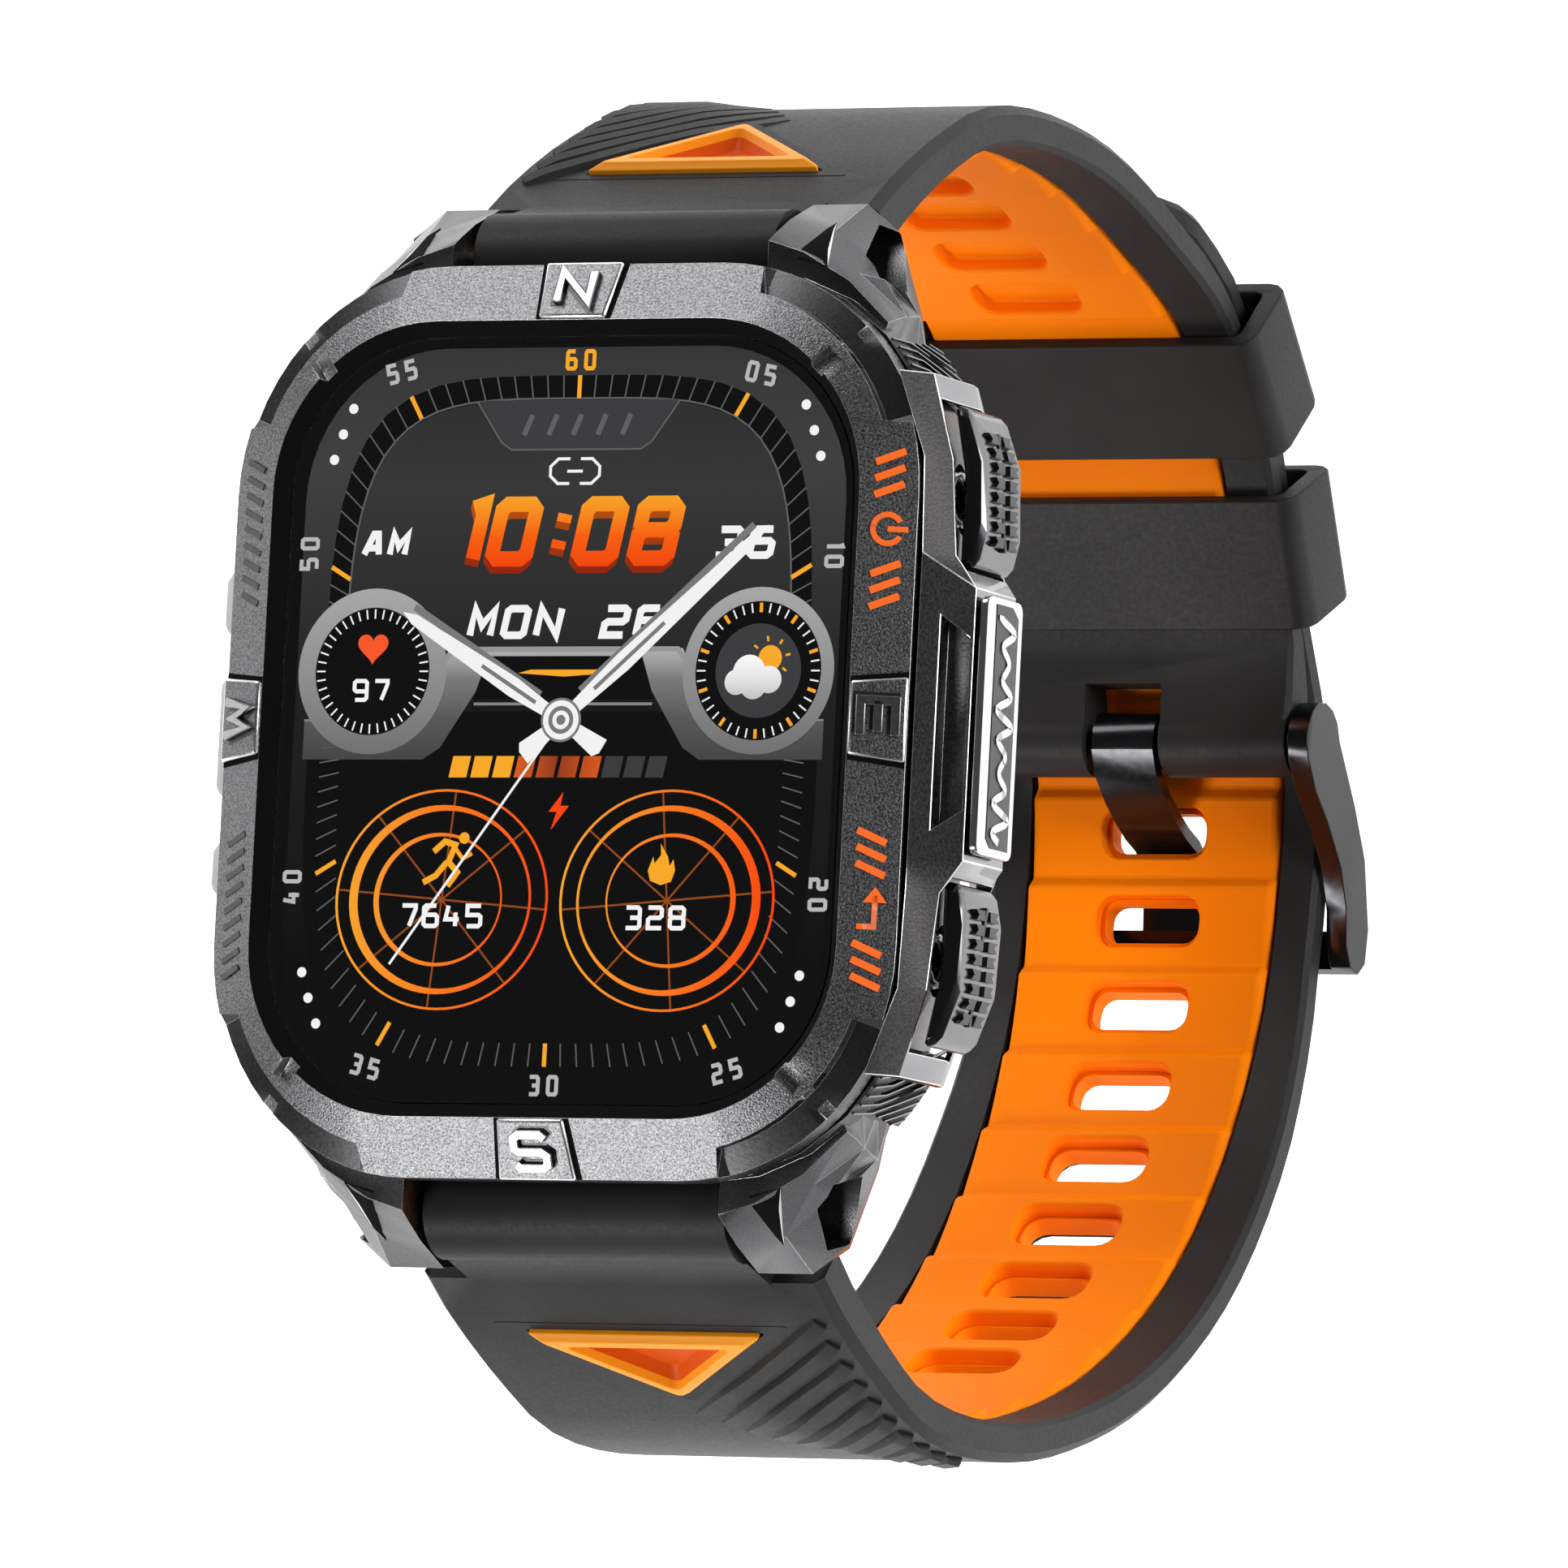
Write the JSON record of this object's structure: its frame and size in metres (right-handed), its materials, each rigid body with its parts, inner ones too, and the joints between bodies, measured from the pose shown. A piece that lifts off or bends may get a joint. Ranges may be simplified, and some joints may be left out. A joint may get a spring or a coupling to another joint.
{
  "type": "gps running watch",
  "caption": "Rugged rectangular sports watch with side buttons, compass bezel and a two-tone strap buckled into a wrist loop.",
  "frame": {"origin": "centre of the rear sensor window's outer flat face", "axes": "+Z out of the display, +Y towards 12 o'clock, +X towards 3 o'clock (button side)"},
  "size_m": [0.0505, 0.0809, 0.0876],
  "materials": {
    "bezel_metal": "sand-blasted gunmetal with polished edges",
    "cover_glass": "clear gloss",
    "display": "lit display, black where unlit",
    "black_rubber": "satin moulded silicone",
    "case_metal": "dark grey satin with fine grain",
    "black_plastic": "satin",
    "steel": "fine brushed",
    "gold_contact": "gold plated",
    "sensor_glass": "dark gloss",
    "circuit_board": "solder mask",
    "battery_foil": "satin foil",
    "ceramic": "unglazed ceramic",
    "guard_metal": "polished side, dark satin front",
    "chrome": "mirror polish",
    "grey_plastic": "satin grey",
    "button_metal": "dark polish with engraved tread",
    "orange_rubber": "satin moulded silicone",
    "buckle_metal": "dark polished steel"
  },
  "bodies": {
    "case": {"bezel": "bezel_metal", "cover_glass": "cover_glass", "display_panel": "display", "bezel_gasket": "black_rubber", "mid_case": "case_metal", "rear_cover": "black_plastic", "rear_screw_1": "steel", "rear_screw_2": "steel", "rear_screw_3": "steel", "rear_screw_4": "steel", "charge_pin_1": "gold_contact", "charge_pin_2": "gold_contact", "sensor_window": "sensor_glass", "sensor_board": "circuit_board", "rear_gasket": "black_rubber", "main_board": "circuit_board", "battery": "battery_foil", "gps_antenna": "ceramic", "speaker": "black_plastic", "display_flex": "gold_contact", "vibration_motor": "steel", "right_guard": "guard_metal", "side_plate": "chrome", "left_guard": "grey_plastic", "power_button_spring": "steel", "power_button_seal": "black_rubber", "back_button_spring": "steel", "back_button_seal": "black_rubber", "spring_bar_12": "steel"},
    "power_button": {"power_button": "button_metal"},
    "back_button": {"back_button": "button_metal"},
    "vibration_rotor": {"vibration_weight": "steel"},
    "strap": {"upper_strap": "black_rubber", "upper_liner": "orange_rubber", "upper_triangle": "orange_rubber", "lower_strap": "black_rubber", "lower_liner": "orange_rubber", "lower_triangle": "orange_rubber", "spring_bar_6": "steel", "fixed_keeper": "black_rubber", "buckle_bar": "steel"},
    "free_keeper": {"free_keeper": "black_rubber"},
    "buckle": {"buckle_frame": "buckle_metal"},
    "tang": {"buckle_tang": "buckle_metal"}
  },
  "joints": [
    {"name": "power_button_press", "type": "slide", "parent": "case", "child": "power_button", "axis": [-1, 0, 0], "range_m": [0, 0.0005], "stiffness_N_per_m": 3000, "springref_m": -0.0003},
    {"name": "back_button_press", "type": "slide", "parent": "case", "child": "back_button", "axis": [-1, 0, 0], "range_m": [0, 0.0005], "stiffness_N_per_m": 3000, "springref_m": -0.0003},
    {"name": "strap_swing", "type": "hinge", "parent": "case", "child": "strap", "pos_m": [0, 0.028, 0.0057], "axis": [1, 0, 0], "range_deg": [0, 45]},
    {"name": "keeper_slide", "type": "slide", "parent": "strap", "child": "free_keeper", "axis": [0, -0.7415, -0.6709], "range_m": [0, 0.001]},
    {"name": "buckle_swing", "type": "hinge", "parent": "strap", "child": "buckle", "pos_m": [0, 0.0078, -0.065], "axis": [1, 0, 0], "range_deg": [0, 3]},
    {"name": "tang_swing", "type": "hinge", "parent": "buckle", "child": "tang", "pos_m": [0, 0.0078, -0.065], "axis": [1, 0, 0], "range_deg": [0, 2]},
    {"name": "vibration_weight_spin", "type": "hinge", "parent": "case", "child": "vibration_rotor", "pos_m": [0, 0.0155, 0.006], "axis": [1, 0, 0], "continuous": true}
  ]
}
